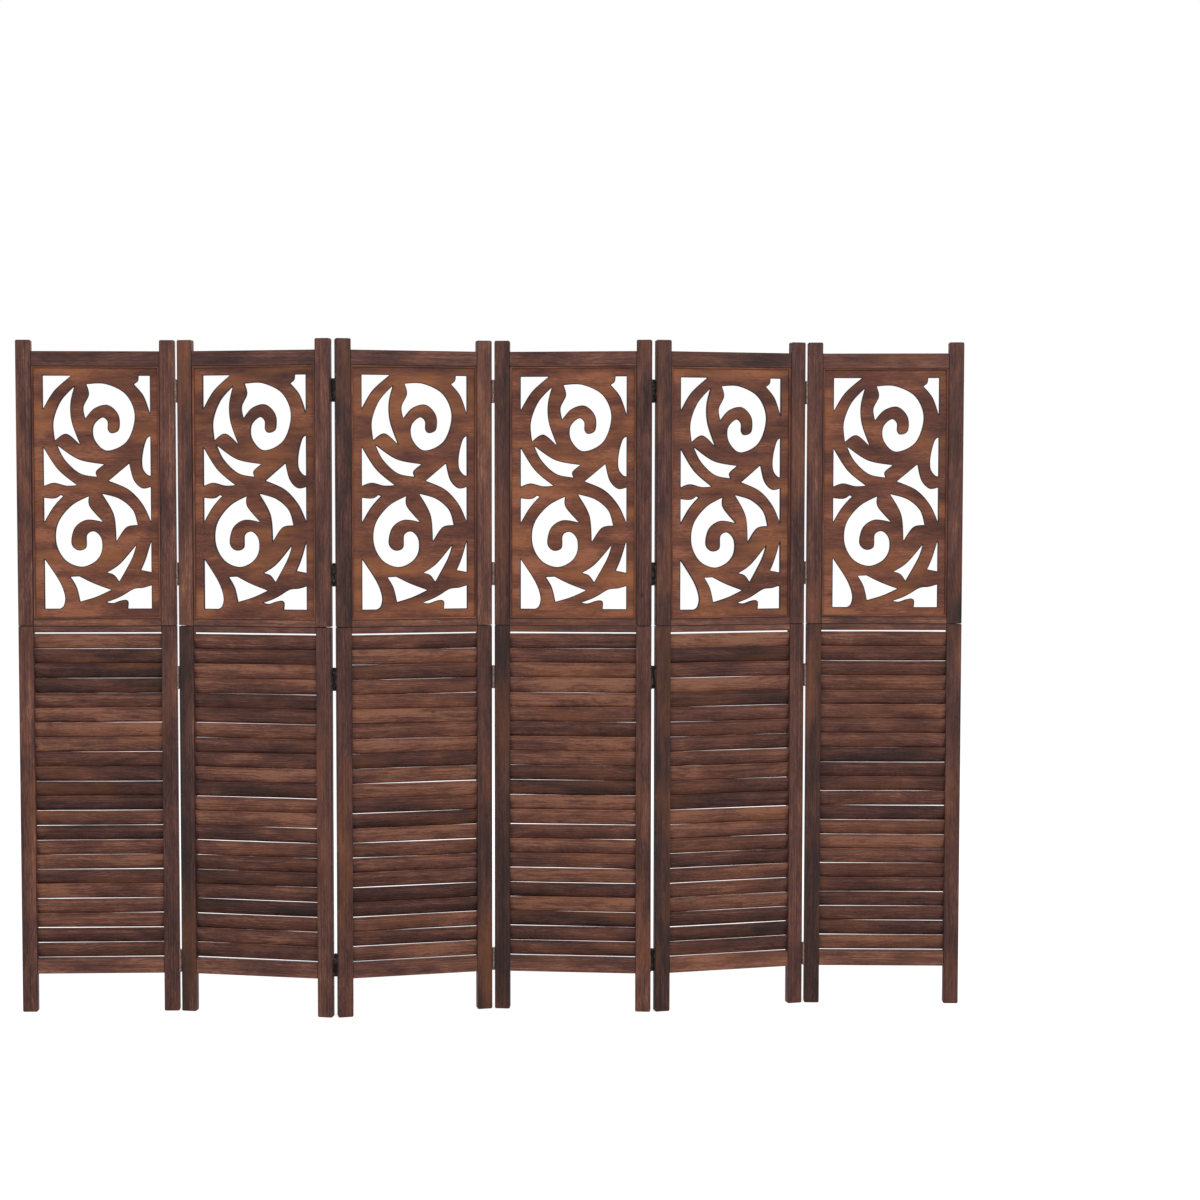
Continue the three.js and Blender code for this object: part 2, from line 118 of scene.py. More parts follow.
def mapped(tree, value, low, high, at_low=0.0, at_high=1.0):
    """The value carried over from one pair of limits to another, and held between them."""
    return node(tree, "ShaderNodeMapRange",
                {0: value, 1: low, 2: high, 3: at_low, 4: at_high}).outputs[0]


def mixed(tree, share, colour, other, blend="MIX"):
    return node(tree, "ShaderNodeMix", {0: share, 6: colour, 7: other}, data_type="RGBA",
                blend_type=blend).outputs[2]


def ramped(tree, value, stops):
    """The colour for a value, between stops given from the lowest to the highest."""
    ramp = node(tree, "ShaderNodeValToRGB", {0: value})
    elements = ramp.color_ramp.elements
    elements[0].position, elements[0].color = stops[0]
    elements[1].position, elements[1].color = stops[-1]
    for position, colour in stops[1:-1]:
        elements.new(position).color = colour
    return ramp.outputs[0]


def stretched(tree, vector, along, across):
    """The grain coordinate squeezed so that a pattern is long along the fibre, x."""
    return node(tree, "ShaderNodeVectorMath", {0: vector, 1: (along, across, across)},
                operation="MULTIPLY").outputs[0]


def noise(tree, vector, along, across, detail, roughness=0.5):
    return node(tree, "ShaderNodeTexNoise",
                {"Vector": stretched(tree, vector, along, across), "Scale": 1.0,
                 "Detail": detail, "Roughness": roughness}).outputs["Fac"]


def new_group(name, kind, inputs, outputs):
    tree = bpy.data.node_groups.new(name, kind)
    for title, socket_type, value in inputs:
        socket = tree.interface.new_socket(title, in_out="INPUT", socket_type=socket_type)
        if value is not None:
            socket.default_value = value
    for title, socket_type in outputs:
        tree.interface.new_socket(title, in_out="OUTPUT", socket_type=socket_type)
    return tree, tree.nodes.new("NodeGroupInput"), tree.nodes.new("NodeGroupOutput")


def blank_material(name):
    material = bpy.data.materials.new(name)
    material.use_nodes = True
    material.node_tree.nodes.clear()
    return material, material.node_tree


# The figures of the wood: how often each changes in a metre along the fibre and across it,
# in how many sizes, and how rough it is.
FIGURES = {
    "Clouds": (6.0, 20.0, 3.0, 0.55),
    "Mottle": (22.0, 75.0, 3.0, 0.55),
    "Streaks": (2.6, 280.0, 4.0, 0.7),
    "fibre": (60.0, 430.0, 4.0, 0.65),
    "pores": (60.0, 1500.0, 1.0, 0.5),
    "bend": (3.4, 14.0, 3.0, 0.5),
    "warmth": (4.0, 17.0, 3.0, 0.5),
}
SHADE_SPANS = {"Clouds": 2.2, "Mottle": 1.4, "Streaks": 1.9}  # from darkest to lightest
FIBRE_SPAN = 0.9
LOG_SIZE = 9.0  # how far apart in the pattern two boards can be cut
RING_TURNS, RING_BEND = 760.0, 75.0  # radians of ring in a metre, and how far they are bent
LATEWOOD_NARROWNESS, LATEWOOD_SHADE = 2.5, -0.22
KNOTS_A_METRE = (7.0, 12.0)
KNOT_HEART, KNOT_EDGE = 0.02, 0.07
KNOT_RARITY, KNOT_SHADE = 0.72, -0.4


def make_grain_group():
    """Planed and stained softwood: clouds where the stain took, mottled figure, growth rings
    cut lengthwise, streaks and fibres along x, and a small dark knot here and there."""
    tree, given, put = new_group(
        "wood_grain", "ShaderNodeTree",
        [("Grain", "NodeSocketVector", None), *(
            (title, "NodeSocketFloat", 1.0)
            for title in ("Piece", "Clouds", "Mottle", "Rings", "Streaks"))],
        [(title, "NodeSocketFloat") for title in ("Shade", "Warmth", "Height", "Pores")])
    amount = given.outputs
    draw = node(tree, "ShaderNodeTexWhiteNoise", {"W": amount["Piece"]}, noise_dimensions="1D")
    shift = node(tree, "ShaderNodeVectorMath", {0: draw.outputs["Color"], 1: (LOG_SIZE,) * 3},
                 operation="MULTIPLY").outputs[0]
    own = node(tree, "ShaderNodeVectorMath", {0: amount["Grain"], 1: shift},
               operation="ADD").outputs[0]
    figure = {title: noise(tree, own, *shape) for title, shape in FIGURES.items()}

    across = node(tree, "ShaderNodeSeparateXYZ", {0: own}).outputs[1]
    turns = maths(tree, "ADD", scaled(tree, across, RING_TURNS),
                  scaled(tree, figure["bend"], RING_BEND))
    wave = maths(tree, "ADD", scaled(tree, maths(tree, "SINE", turns), 0.5), 0.5)
    latewood = maths(tree, "POWER", wave, LATEWOOD_NARROWNESS)
    knot = node(tree, "ShaderNodeTexVoronoi",
                {"Vector": stretched(tree, own, *KNOTS_A_METRE), "Scale": 1.0}).outputs
    near = mapped(tree, knot["Distance"], KNOT_EDGE, KNOT_HEART)
    lot = node(tree, "ShaderNodeSeparateColor", {0: knot["Color"]}).outputs[0]
    knots = maths(tree, "MULTIPLY", near, maths(tree, "GREATER_THAN", lot, KNOT_RARITY))

    def about_zero(title, span):
        return scaled(tree, maths(tree, "SUBTRACT", figure[title], 0.5), span)

    parts = [scaled(tree, about_zero(title, span), amount[title])
             for title, span in SHADE_SPANS.items()]
    parts.append(scaled(tree, scaled(tree, latewood, LATEWOOD_SHADE), amount["Rings"]))
    parts.append(about_zero("fibre", FIBRE_SPAN))
    shade = scaled(tree, knots, KNOT_SHADE)
    for part in parts:
        shade = maths(tree, "ADD", shade, part)
    pores = mapped(tree, figure["pores"], 0.60, 0.72)
    height = maths(tree, "SUBTRACT", figure["fibre"], scaled(tree, latewood, 0.1))
    height = maths(tree, "SUBTRACT", height, scaled(tree, pores, 0.6))
    for title, value in (("Shade", shade), ("Warmth", figure["warmth"]), ("Height", height),
                         ("Pores", pores)):
        tree.links.new(value, put.inputs[title])
    return tree


wood_grain = make_grain_group()


def srgb(red, green, blue):
    """A colour given as it looks on screen, 0 to 255, made linear."""
    linear = [((c / 255 + 0.055) / 1.055) ** 2.4 if c > 10 else c / 255 / 12.92
              for c in (red, green, blue)]
    return (*linear, 1.0)


STAIN = [(0.0, srgb(34, 20, 17)), (0.25, srgb(61, 36, 32)), (0.5, srgb(86, 53, 47)),
         (0.75, srgb(112, 72, 59)), (1.0, srgb(152, 104, 82))]  # from thick to thin
THICK_STAIN = STAIN[0][1]
BARE = srgb(162, 101, 60)  # where the stain has not taken or has worn off
MEDIUM_SHADE = 0.5
PORE_SHARE = 0.4
WOOD_ROUGHNESS, PORE_ROUGHNESS = 0.56, 0.2


def stained_wood(name, clouds, mottle, rings, streaks, bare, cast=(1.0, 1.0, 1.0)):
    """The one stain, on wood with this much of each figure and of bare patches, and with a
    colour cast of its own. The fibre runs along x of each piece's own grain attribute."""
    material, tree = blank_material(name)
    grain = node(tree, "ShaderNodeAttribute", attribute_name="grain").outputs["Vector"]
    mark = {title: node(tree, "ShaderNodeAttribute", attribute_name=title).outputs["Fac"]
            for title in ("piece", "tone", "painted_shade_and_tone", "sawn", "arris")}
    wood = node(tree, "ShaderNodeGroup",
                {"Grain": grain, "Piece": mark["piece"], "Clouds": clouds, "Mottle": mottle,
                 "Rings": rings, "Streaks": streaks}, node_tree=wood_grain).outputs
    shade = maths(tree, "ADD", wood["Shade"], MEDIUM_SHADE)
    # The second mark is painted light and shade on the slats, and a lighter edge on some stiles
    # and boards.
    for title in ("tone", "painted_shade_and_tone"):
        shade = maths(tree, "ADD", shade, mark[title])
    colour = mixed(tree, 1.0, ramped(tree, shade, STAIN), (*cast, 1.0), "MULTIPLY")
    warm = mapped(tree, wood["Warmth"], 0.50, 0.72)
    # Painted shade on the arrises: the eased edges of stiles and rails are painted towards thick
    # stain, a dark outline like the shade along the edges and in the joints, left light in spots.
    edge_shade = mapped(tree, wood["Warmth"], 0.56, 0.66, 0.85, 0.0)
    # Thick stain on sawn end grain and along the fretwork cuts, and painted shade in the angles
    # beside the beads.
    soaked_and_shaded = mapped(tree, mark["sawn"], 0.1, 0.5, 0.0, 0.95)
    for share, other in ((scaled(tree, warm, bare), BARE),
                         (scaled(tree, wood["Pores"], PORE_SHARE), THICK_STAIN),
                         (scaled(tree, mark["arris"], edge_shade), THICK_STAIN),
                         (soaked_and_shaded, THICK_STAIN)):
        colour = mixed(tree, share, colour, other)
    rough = maths(tree, "ADD", scaled(tree, wood["Pores"], PORE_ROUGHNESS), WOOD_ROUGHNESS)
    bump = node(tree, "ShaderNodeBump", {"Strength": 0.5, "Distance": 0.0004,
                                         "Height": wood["Height"]})
    shader = node(tree, "ShaderNodeBsdfPrincipled",
                  {"Base Color": colour, "Roughness": rough, "Normal": bump.outputs[0],
                   "Specular IOR Level": 0.25})
    node(tree, "ShaderNodeOutputMaterial", {"Surface": shader.outputs[0]})
    return material


def link_piece(name, mesh, panel, material, stands_for, place=None):
    """A finished piece: its place goes into its mesh, and it rides on its panel."""
    body = f"panel_{panel + 1}"
    mesh.transform(place or panel_places[panel])
    mesh.materials.clear()
    mesh.materials.append(material)
    piece = bpy.data.objects.new(name, mesh)
    bpy.context.scene.collection.objects.link(piece)
    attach(piece, body)
    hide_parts(stands_for)


def write_marks(mesh, title, domain, values):
    """Writes one named number on every point or face of a mesh."""
    layer = mesh.attributes.new(title, "FLOAT", domain)
    layer.data.foreach_set("value", [float(value) for value in values])


def give_grain(mesh, along, number, tone):
    """Writes the grain coordinate, with the fibre along the panel's x or z, and the piece's
    number, by which every board gets a pattern of its own, and how light it is."""
    grain = mesh.attributes.new("grain", "FLOAT_VECTOR", "POINT")
    for vertex, value in zip(mesh.vertices, grain.data):
        x, y, z = vertex.co
        value.vector = (x, z, y) if along == "x" else (z, x, y)
    for title, value in (("piece", number), ("tone", tone)):
        write_marks(mesh, title, "POINT", [value] * len(mesh.vertices))


def mark_faces(mesh, along):
    """Marks sawn end grain, and the arrises: the narrow faces that the edges were eased to."""
    fibre = 0 if along == "x" else 2
    normals = [tuple(face.normal) for face in mesh.polygons]
    write_marks(mesh, "sawn", "FACE", [abs(normal[fibre]) > 0.6 for normal in normals])
    write_marks(mesh, "arris", "FACE", [max(map(abs, normal)) < 0.99 for normal in normals])


def skin(work, rings):
    """Faces from each ring of points to the next one."""
    for low, high in zip(rings, rings[1:]):
        for i in range(len(low)):
            j = (i + 1) % len(low)
            work.faces.new((low[i], low[j], high[j], high[i]))


def cap(work, rings):
    """Faces over the first and the last ring."""
    work.faces.new(rings[0][::-1])
    work.faces.new(rings[-1])


def closed_mesh(name, work):
    """What was built up, as a mesh with all its faces turned outwards."""
    bmesh.ops.recalc_face_normals(work, faces=work.faces)
    mesh = bpy.data.meshes.new(name)
    work.to_mesh(mesh)
    work.free()
    return mesh


def planed_bar(name, outline, thickness, easing):
    """A bar with this outline in the panel's plane, sawn square and with its edges eased."""
    work = bmesh.new()
    rings = [[work.verts.new((x, y, z)) for x, z in outline]
             for y in (-thickness / 2, thickness / 2)]
    skin(work, rings)
    cap(work, rings)
    bmesh.ops.recalc_face_normals(work, faces=work.faces)
    bmesh.ops.bevel(work, geom=list(work.edges), offset=easing, segments=2, profile=0.5,
                    affect="EDGES", clamp_overlap=True)
    return closed_mesh(name, work)


STILE_WIDTH = 0.038
LOWER_HEIGHT = 0.982
SEAM = 0.0006
TIP_BEVEL = 0.0025
LET_IN = 0.0005  # how much nearer to one another hinged stiles lie than their bare leaves would
STILE_EASING = 0.0012
# How light the lengths came out of the stain. The lower ones are darker on the whole, and no
# two are alike: each is drawn by lot within the spread.
LOWER_TONE, UPPER_TONE = -0.16, -0.04
LENGTH_SPREAD = 0.19
LENGTH_SEED = 20
# How much lighter a lower length is along its right edge than along its middle.
EDGE_GLOW = {0: 0.10, 2: 0.22}
# How far the foot of each upper length is sawn off square, in millimetres, which lets light
# through the seam.
OPEN_SEAMS = [0.2, 0.0, 1.6, 1.3, 0.4, 0.9, 0.2, 0.6, 0.3, 0.0, 0.5, 0.9]

frame_wood = stained_wood("frame_wood", clouds=0.6, mottle=0.4, rings=0.6, streaks=0.6, bare=0.3)
length_draws = random.Random(LENGTH_SEED)

for panel in range(PANEL_COUNT):
    for right in (0, 1):
        which = 2 * panel + right
        edge = PANEL_WIDTH - STILE_WIDTH if right else 0.0
        far = edge + STILE_WIDTH
        if right and panel < PANEL_COUNT - 1:
            far += LET_IN
        elif panel > 0 and not right:
            edge -= LET_IN
        node_name = f"panel_{panel + 1}_{'right' if right else 'left'}_stile"
        start = LOWER_HEIGHT + SEAM
        off = OPEN_SEAMS[which] / 1000
        foot = [(edge + TIP_BEVEL, 0.0), (far - TIP_BEVEL, 0.0), (far, TIP_BEVEL),
                (far, LOWER_HEIGHT), (edge, LOWER_HEIGHT), (edge, TIP_BEVEL)]
        horn = [(edge, start + off * (1 - right)), (far, start + off * right),
                (far, PANEL_HEIGHT - TIP_BEVEL), (far - TIP_BEVEL, PANEL_HEIGHT),
                (edge + TIP_BEVEL, PANEL_HEIGHT), (edge, PANEL_HEIGHT - TIP_BEVEL)]
        for number, length, outline, tone, glow in (
                (1, "lower", foot, LOWER_TONE, EDGE_GLOW.get(which, 0.0)),
                (2, "upper", horn, UPPER_TONE, 0.0)):
            bar = planed_bar(f"{node_name}_{length}", outline, FRAME_THICKNESS, STILE_EASING)
            tone += length_draws.uniform(-LENGTH_SPREAD, LENGTH_SPREAD)
            give_grain(bar, "z", 10.0 * which + number, tone)
            write_marks(bar, "painted_shade_and_tone", "POINT", [
                glow * (2 * (vertex.co.x - edge) / STILE_WIDTH - 1) for vertex in bar.vertices])
            mark_faces(bar, "z")
            link_piece(f"{node_name}_{length}", bar, panel, frame_wood, node_name)

# ---- The dowels ----------------------------------------------------------------------------
# A fluted beech dowel joins the two lengths of every stile, glued into both; it shows as a
# dark spot in the seam.
DOWEL_RADIUS = 0.005
DOWEL_REACH = 0.015
DOWEL_CHAMFER = 0.001
DOWEL_TIP = 0.85  # of its radius
DOWEL_TONE = -0.3
DOWEL_NUMBERS = 500.0
FLUTES = 16
FLUTE_FLOOR = 0.93  # of its radius


def turned(work, profile, sides, hollows=1.0):
    """A turned form about the z axis, from its radii and heights, closed at both ends. Every
    second line down its side lies in to this share of the radius."""
    rings = []
    for radius, height in profile:
        spokes = [(2 * math.pi * k / sides, radius * (1.0 if k % 2 else hollows))
                  for k in range(sides)]
        rings.append([work.verts.new((reach * math.cos(turn), reach * math.sin(turn), height))
                      for turn, reach in spokes])
    skin(work, rings)
    cap(work, rings)


for panel in range(PANEL_COUNT):
    for right in (0, 1):
        middle = PANEL_WIDTH - STILE_WIDTH / 2 if right else STILE_WIDTH / 2
        node_name = f"panel_{panel + 1}_{'right' if right else 'left'}_stile"
        work = bmesh.new()
        tip, shoulder = DOWEL_RADIUS * DOWEL_TIP, DOWEL_REACH - DOWEL_CHAMFER
        turned(work, [(tip, -DOWEL_REACH), (DOWEL_RADIUS, -shoulder), (DOWEL_RADIUS, shoulder),
                      (tip, DOWEL_REACH)], 2 * FLUTES, FLUTE_FLOOR)
        bmesh.ops.translate(work, vec=(middle, 0.0, LOWER_HEIGHT + SEAM / 2), verts=work.verts)
        dowel = closed_mesh(f"{node_name}_dowel", work)
        give_grain(dowel, "z", DOWEL_NUMBERS + 2 * panel + right, DOWEL_TONE)
        link_piece(f"{node_name}_dowel", dowel, panel, frame_wood, node_name)

# ---- The rails -----------------------------------------------------------------------------
# Four rails run between the stiles of a panel, a little thinner than they are, so that they
# lie back from their faces: top rail and board rail in the upper frame, louvre rail and
# bottom rail in the lower one. Stub tenons, hidden in the stiles, hold them.
RAIL_THICKNESS = 0.018
RAIL_EASING = 0.0008
RAIL_NUMBERS = 600.0
RAILS = {
    "top_rail": (1.635, 1.672),
    "board_rail": (0.9826, 0.9996),
    "louvre_rail": (0.966, 0.982),
    "bottom_rail": (0.0975, 0.1365),
}
# How light the rails of each kind are on the whole, and how far single ones are off that.
RAIL_TONES = {
    "top_rail": (0.0, 0.15),
    "board_rail": (0.17, 0.05),
    "louvre_rail": (0.13, 0.05),
    "bottom_rail": (0.24, 0.20),
}
RAIL_SEED = 21

rail_draws = random.Random(RAIL_SEED)
for panel in range(PANEL_COUNT):
    for kind, (rail_name, (low, high)) in enumerate(RAILS.items()):
        node_name = f"panel_{panel + 1}_{rail_name}"
        left, right = STILE_WIDTH, PANEL_WIDTH - STILE_WIDTH
        outline = [(left, low), (right, low), (right, high), (left, high)]
        rail = planed_bar(f"{node_name}_wood", outline, RAIL_THICKNESS, RAIL_EASING)
        number = RAIL_NUMBERS + len(RAILS) * panel + kind
        tone, spread = RAIL_TONES[rail_name]
        give_grain(rail, "x", number, tone + rail_draws.uniform(-spread, spread))
        mark_faces(rail, "x")
        link_piece(f"{node_name}_wood", rail, panel, frame_wood, node_name)

# ---- The fretwork boards -------------------------------------------------------------------
# A thin board fills the upper frame, in a groove all round. The scrolls are cut out of it
# with a fret saw in one piece, the same in every panel, and the cuts took the stain darkest.
BOARD_THICKNESS = 0.006
BOARD_LOW, BOARD_HIGH = 0.9996, 1.635
TONGUE = 0.0035  # how far the board reaches into its groove
LEFT_BORDER, RIGHT_BORDER = 0.028, 0.025
END_BORDER = 0.0252
DRAWN_WIDTH, DRAWN_HEIGHT = 270, 585
CUT_EASING = 0.0004
DARK_RIM = 0.0028  # how far in from a cut the face is darker
CUT_STEP = 3.5  # millimetres along a curve of the drawing
SHARP_TURN = 0.5  # radians, above which a cut has a corner
BOARD_NUMBERS = 700.0
BOARD_TONE, BOARD_SPREAD = 0.18, 0.06
BOARD_SEED = 22
BOARD_FADING = 0.07  # how much lighter its left and lower edges are than its middle
# No two boards lie quite alike in their grooves: how many millimetres across and up each is off.
BOARD_SHIFTS = [(0.5, 1.0), (-0.5, 1.0), (0.0, 1.0), (-0.5, -0.5), (-1.0, -2.5), (1.0, 0.0)]

# Each saw cut is a closed chain of runs, in millimetres from the lower left corner of the
# pattern. A run of two points is straight, a longer one is a smooth curve.
SAW_CUTS = [
    [[(0, 585), (71, 585)], [(71, 585), (28, 547), (0, 502)], [(0, 502), (0, 585)]],
    [[(79, 558), (45, 521), (26, 471), (29, 423)], [(29, 423), (58, 440), (92, 413)],
     [(92, 413), (72, 469), (69, 515), (79, 558)]],
    [[(242, 585), (270, 585)], [(270, 585), (270, 491)], [(270, 491), (254, 535), (230, 564)],
     [(230, 564), (240, 572), (242, 585)]],
    [[(110, 564), (158, 564), (209, 538), (231, 485), (211, 422), (161, 398), (130, 424),
      (127, 459), (148, 480), (162, 471), (163, 450), (173, 441), (191, 451), (190, 487),
      (164, 512), (130, 504), (106, 478)], [(106, 478), (102, 507), (116, 538), (110, 564)]],
    [[(270, 434), (270, 335)],
     [(270, 335), (262, 337), (251, 352), (249, 375), (253, 402), (261, 427), (270, 434)]],
    [[(0, 405), (36, 350), (83, 311)], [(83, 311), (56, 310), (25, 317), (0, 309)],
     [(0, 309), (0, 405)]],
    [[(35, 410), (89, 375), (152, 363)], [(152, 363), (132, 346), (134, 332)],
     [(134, 332), (91, 341), (54, 374), (35, 410)]],
    [[(164, 322), (216, 365)], [(216, 365), (227, 324), (248, 303), (270, 306)],
     [(270, 306), (270, 219)], [(270, 219), (249, 263), (214, 300), (164, 322)]],
    [[(0, 279), (20, 277), (32, 279), (42, 286)], [(42, 286), (48, 283)],
     [(48, 283), (36, 271), (19, 250), (0, 218)], [(0, 218), (0, 279)]],
    [[(113, 283), (115, 257), (148, 219)],
     [(148, 219), (107, 224), (77, 204), (68, 165), (84, 147), (105, 154), (108, 186),
      (127, 194), (144, 176), (144, 143), (126, 118), (91, 106), (52, 123), (30, 165), (35, 216),
      (69, 259), (113, 283)]],
    [[(147, 289), (191, 276), (224, 248), (236, 211)], [(236, 211), (207, 205), (182, 170)],
     [(182, 170), (176, 236), (147, 289)]],
    [[(270, 170), (270, 92)], [(270, 92), (244, 97)], [(244, 97), (256, 125), (270, 170)]],
    [[(232, 160), (191, 113), (158, 91)], [(158, 91), (175, 85), (188, 68)],
     [(188, 68), (220, 125), (232, 160)]],
    [[(0, 125), (36, 70), (50, 32), (47, 8), (37, 0)], [(37, 0), (0, 0)], [(0, 0), (0, 125)]],
    [[(65, 80), (87, 81)], [(87, 81), (124, 63), (167, 47)], [(167, 47), (129, 30), (89, 18)],
     [(89, 18), (80, 54), (65, 80)]],
    [[(270, 58), (249, 52), (225, 49), (199, 34), (181, 25), (156, 16)],
     [(156, 16), (171, 14), (190, 20), (205, 22), (211, 16), (210, 0)], [(210, 0), (270, 0)],
     [(270, 0), (270, 58)]],
]


def along_run(points):
    """Points along one run, the last one left out, because the next run begins there."""
    if len(points) == 2:
        return [points[0]]
    made = []
    for i in range(len(points) - 1):
        p0, p1 = points[max(i - 1, 0)], points[i]
        p2, p3 = points[i + 1], points[min(i + 2, len(points) - 1)]
        steps = max(2, round(math.dist(p1, p2) / CUT_STEP))
        for k in range(steps):
            t = k / steps
            made.append(tuple(
                0.5 * (2 * b + (c - a) * t + (2 * a - 5 * b + 4 * c - d) * t ** 2
                       + (3 * b - a - 3 * c + d) * t ** 3)
                for a, b, c, d in zip(p0, p1, p2, p3)))
    return made


def drawn_cuts():
    """The points of the board's outline and of all its cuts, and the numbers of those in each
    cut, in an order that keeps the wood on the right."""
    left, right = STILE_WIDTH - TONGUE, PANEL_WIDTH - STILE_WIDTH + TONGUE
    low, high = BOARD_LOW - TONGUE, BOARD_HIGH + TONGUE
    points = [(left, low), (right, low), (right, high), (left, high)]
    start_x, start_z = STILE_WIDTH + LEFT_BORDER, BOARD_LOW + END_BORDER
    scale_x = (PANEL_WIDTH - STILE_WIDTH - RIGHT_BORDER - start_x) / DRAWN_WIDTH
    scale_z = (BOARD_HIGH - END_BORDER - start_z) / DRAWN_HEIGHT
    loops = []
    for runs in SAW_CUTS:
        loop = [(start_x + x * scale_x, start_z + z * scale_z)
                for run in runs for x, z in along_run(run)]
        area = sum(a[0] * b[1] - b[0] * a[1] for a, b in zip(loop, loop[1:] + loop[:1]))
        if area < 0:
            loop.reverse()
        loops.append(range(len(points), len(points) + len(loop)))
        points += loop
    return points, loops


def beside_cuts(points, loops):
    """The way from each point of a cut into the wood, with two more where the cut turns
    sharply, and the cuts as a tree of close points to measure from."""
    inward, samples = {}, []
    for loop in loops:
        for i, here in enumerate(loop):
            a, b, c = (Vector(points[k]) for k in (loop[i - 1], here, loop[(i + 1) % len(loop)]))
            before, after = (b - a).normalized(), (c - b).normalized()
            way = Vector((before.y + after.y, -before.x - after.x))
            inward[here] = [way.normalized() if way.length > 0.05 else before]
            if before.angle(after) > SHARP_TURN:
                inward[here] += [Vector((before.y, -before.x)), Vector((after.y, -after.x))]
            samples += [b.lerp(c, k / 8) for k in range(8)]
    cut_lines = kdtree.KDTree(len(samples))
    for number, point in enumerate(samples):
        cut_lines.insert((point.x, point.y, 0.0), number)
    cut_lines.balance()
    return inward, cut_lines


def sawn_board():
    """The board with its cuts. Its faces are cut into triangles, with a row of points a short
    way in from every cut, up to which the stain darkened."""
    points, loops = drawn_cuts()
    inward, cut_lines = beside_cuts(points, loops)
    rim = [Vector(points[here]) + way * DARK_RIM for here, ways in inward.items() for way in ways]
    rim = [point for point in rim
           if cut_lines.find((point.x, point.y, 0.0))[2] > 0.85 * DARK_RIM]
    places, _, triangles, given_by, _, holes = geometry.delaunay_2d_cdt(
        [Vector(point) for point in points] + rim, [], [list(loop) for loop in loops],
        0, 1e-7, True)
    index_of = {old: new for new, olds in enumerate(given_by) for old in olds}

    work = bmesh.new()
    half = BOARD_THICKNESS / 2
    front, back = ([work.verts.new((place.x, y, place.y)) for place in places]
                   for y in (-half, half))
    for row in (front, back):
        for here, ways in inward.items():
            row[index_of[here]].co.x += ways[0].x * CUT_EASING
            row[index_of[here]].co.z += ways[0].y * CUT_EASING
    for triangle, hole in zip(triangles, holes):
        if not hole:
            work.faces.new([front[k] for k in triangle])
            work.faces.new([back[k] for k in reversed(triangle)])
    outline = range(4)
    for loop in (outline, *loops):
        depths = () if loop is outline else (CUT_EASING - half, half - CUT_EASING)
        between = [[work.verts.new((points[k][0], y, points[k][1])) for k in loop]
                   for y in depths]
        skin(work, [[front[index_of[k]] for k in loop], *between,
                    [back[index_of[k]] for k in loop]])
    loose = [vert for vert in work.verts if not vert.link_faces]
    bmesh.ops.delete(work, geom=loose, context="VERTS")
    mesh = closed_mesh("sawn_board", work)
    write_marks(mesh, "sawn", "POINT",
                [cut_lines.find((vertex.co.x, vertex.co.z, 0.0))[2] < 2 * CUT_EASING
                 for vertex in mesh.vertices])
    return mesh


board_wood = stained_wood("board_wood", clouds=0.75, mottle=0.2, rings=0.2, streaks=0.25,
                          bare=0.7, cast=(1.0, 0.84, 0.71))
plain_board = sawn_board()
board_draws = random.Random(BOARD_SEED)

for panel in range(PANEL_COUNT):
    node_name = f"panel_{panel + 1}_fretwork_board"
    board = plain_board.copy()
    across, up = BOARD_SHIFTS[panel]
    board.transform(Matrix.Translation((across / 1000, 0.0, up / 1000)))
    tone = BOARD_TONE + board_draws.uniform(-BOARD_SPREAD, BOARD_SPREAD)
    give_grain(board, "x", BOARD_NUMBERS + panel, tone)
    spots = [(vertex.co.x / PANEL_WIDTH, (vertex.co.z - BOARD_LOW) / (BOARD_HIGH - BOARD_LOW))
             for vertex in board.vertices]
    write_marks(board, "painted_shade_and_tone", "POINT", [BOARD_FADING * (2 - 2 * x - 2 * z) for x, z in spots])
    link_piece(f"{node_name}_sawn", board, panel, board_wood, node_name)

# ---- The beads -----------------------------------------------------------------------------
# A thin rounded bead is pinned round the board on both faces, mitred at the corners. It fills
# the angle between the board and the frame.
BEAD_PROFILE = [(0.0, 0.0), (0.0, 0.0048), (0.0022, 0.0050), (0.0038, 0.0043),
                (0.0047, 0.0028), (0.0050, 0.0)]  # from the frame inwards, up from the board
BEAD_PLAY = 0.0003  # between the bead and the frame
BEAD_ANGLE_SHADE = 0.7  # painted shade: how dark the angles on either side of a bead are painted, where shade falls against the frame and the board
BEAD_NUMBERS = 720.0
BEAD_SEED = 40
BEAD_TONE, BEAD_TONE_SPREAD = 0.16, 0.08

